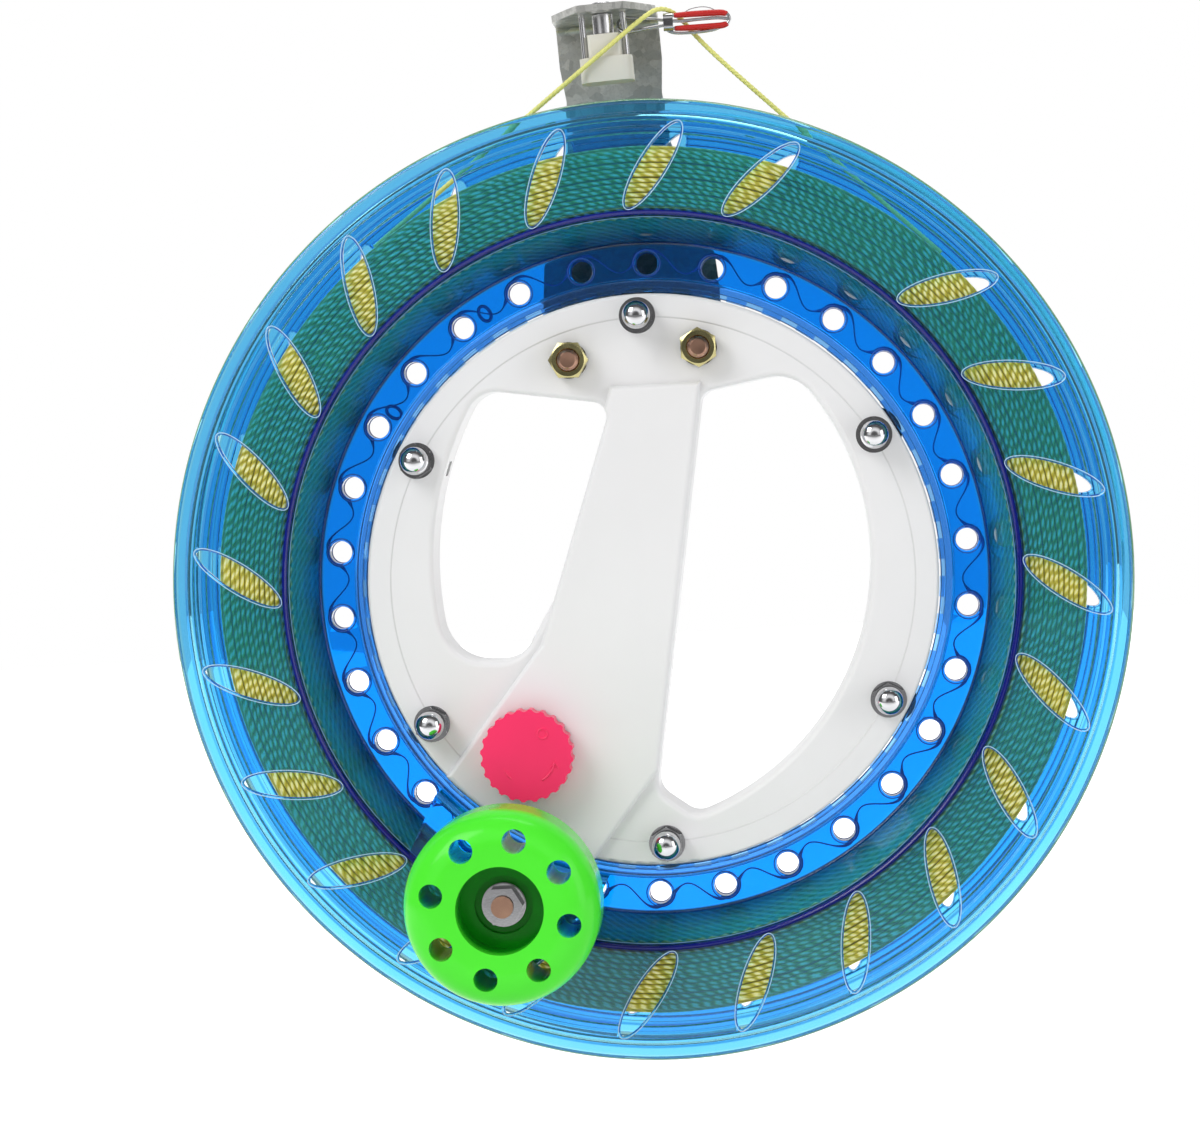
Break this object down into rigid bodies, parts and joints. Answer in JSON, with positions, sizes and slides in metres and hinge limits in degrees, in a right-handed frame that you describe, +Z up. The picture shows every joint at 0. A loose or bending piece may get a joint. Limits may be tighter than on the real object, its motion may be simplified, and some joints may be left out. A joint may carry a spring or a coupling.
{
  "type": "kite line winder",
  "caption": "Hand-held kite line winder: a clear wheel wound with line turns on bearings round a gripped hub, with a crank knob, a lock and a line guide.",
  "frame": {"origin": "the wheel's centre, inside the grip bar, midway between its two flanges", "axes": "+Z up through the line guide, Y along the wheel's axis with the crank knob towards -Y"},
  "size_m": [0.22, 0.0708, 0.2443],
  "materials": {
    "hub_white": "satin moulded plastic",
    "wheel_blue": "clear polished plastic",
    "line_yellow": "twisted polyester line",
    "bearing_steel": "ground",
    "chrome": "bright plated",
    "zinc_yellow": "yellow zinc plated",
    "galvanised_steel": "galvanised sheet with a fine spangle",
    "nylon": "natural nylon",
    "coppered_steel": "coppered, rough sawn end",
    "knob_green": "glossy moulded plastic",
    "knob_pink": "satin moulded plastic",
    "inner_white": "moulded acetal",
    "sleeve_red": "rubbery sleeve"
  },
  "bodies": {
    "hub": {"hub_front_cover": "hub_white", "hub_rear_cover": "hub_white", "bearing_inner_rings": "bearing_steel", "bearing_bolts": "chrome", "bearing_washers": "chrome", "acorn_nuts": "chrome", "guide_bracket": "galvanised_steel", "bracket_bolts": "zinc_yellow", "bracket_washers": "zinc_yellow", "bracket_nuts": "zinc_yellow", "guide_pins": "bearing_steel", "guide_axle": "bearing_steel", "guide_block": "nylon", "line_free": "line_yellow", "snap_hook": "chrome", "snap_loop": "chrome", "snap_collar": "chrome", "snap_sleeves": "sleeve_red"},
    "spool": {"spool_front_half": "wheel_blue", "spool_rear_half": "wheel_blue", "line_core": "line_yellow", "line_outer_layer": "line_yellow", "crank_bolt": "coppered_steel", "crank_sleeve": "chrome", "crank_washer": "chrome", "crank_nut": "chrome"},
    "crank_knob": {"crank_knob": "knob_green"},
    "lock_knob": {"lock_knob": "knob_pink", "lock_spindle": "inner_white"},
    "lock_pawl": {"lock_pawl": "inner_white"},
    "guide_roller": {"guide_roller": "bearing_steel"},
    "bearing_ring_1": {"bearing_ring_1": "bearing_steel"},
    "bearing_ring_2": {"bearing_ring_2": "bearing_steel"},
    "bearing_ring_3": {"bearing_ring_3": "bearing_steel"},
    "bearing_ring_4": {"bearing_ring_4": "bearing_steel"},
    "bearing_ring_5": {"bearing_ring_5": "bearing_steel"},
    "bearing_ring_6": {"bearing_ring_6": "bearing_steel"}
  },
  "joints": [
    {"name": "spool_spin", "type": "hinge", "parent": "hub", "child": "spool", "pos_m": [0, 0, 0], "axis": [0, 1, 0], "continuous": true},
    {"name": "crank_knob_spin", "type": "hinge", "parent": "spool", "child": "crank_knob", "pos_m": [-0.03649, -0.03, -0.0704], "axis": [0, 1, 0], "continuous": true},
    {"name": "lock_turn", "type": "hinge", "parent": "hub", "child": "lock_knob", "pos_m": [-0.0307, -0.01, -0.03845], "axis": [0, -1, 0], "range_deg": [0, 90]},
    {"name": "pawl_slide", "type": "slide", "parent": "hub", "child": "lock_pawl", "axis": [-0.6239, 0, -0.7815], "range_m": [0, 0.0024]},
    {"name": "guide_roller_spin", "type": "hinge", "parent": "hub", "child": "guide_roller", "pos_m": [-0.00443, 0, 0.12813], "axis": [-0.0419, 0, 0.9991], "continuous": true},
    {"name": "bearing_ring_1_spin", "type": "hinge", "parent": "hub", "child": "bearing_ring_1", "pos_m": [0, 0, 0.061], "axis": [0, 1, 0], "continuous": true},
    {"name": "bearing_ring_2_spin", "type": "hinge", "parent": "hub", "child": "bearing_ring_2", "pos_m": [-0.05283, 0, 0.0305], "axis": [0, 1, 0], "continuous": true},
    {"name": "bearing_ring_3_spin", "type": "hinge", "parent": "hub", "child": "bearing_ring_3", "pos_m": [-0.05283, 0, -0.0305], "axis": [0, 1, 0], "continuous": true},
    {"name": "bearing_ring_4_spin", "type": "hinge", "parent": "hub", "child": "bearing_ring_4", "pos_m": [0, 0, -0.061], "axis": [0, 1, 0], "continuous": true},
    {"name": "bearing_ring_5_spin", "type": "hinge", "parent": "hub", "child": "bearing_ring_5", "pos_m": [0.05283, 0, -0.0305], "axis": [0, 1, 0], "continuous": true},
    {"name": "bearing_ring_6_spin", "type": "hinge", "parent": "hub", "child": "bearing_ring_6", "pos_m": [0.05283, 0, 0.0305], "axis": [0, 1, 0], "continuous": true}
  ],
  "couplings": [
    {"joint": "pawl_slide", "follows": "lock_turn", "m_per_rad": 0.0015279},
    {"joint": "bearing_ring_1_spin", "follows": "spool_spin", "ratio": 10.431},
    {"joint": "bearing_ring_2_spin", "follows": "spool_spin", "ratio": 10.431},
    {"joint": "bearing_ring_3_spin", "follows": "spool_spin", "ratio": 10.431},
    {"joint": "bearing_ring_4_spin", "follows": "spool_spin", "ratio": 10.431},
    {"joint": "bearing_ring_5_spin", "follows": "spool_spin", "ratio": 10.431},
    {"joint": "bearing_ring_6_spin", "follows": "spool_spin", "ratio": 10.431}
  ]
}
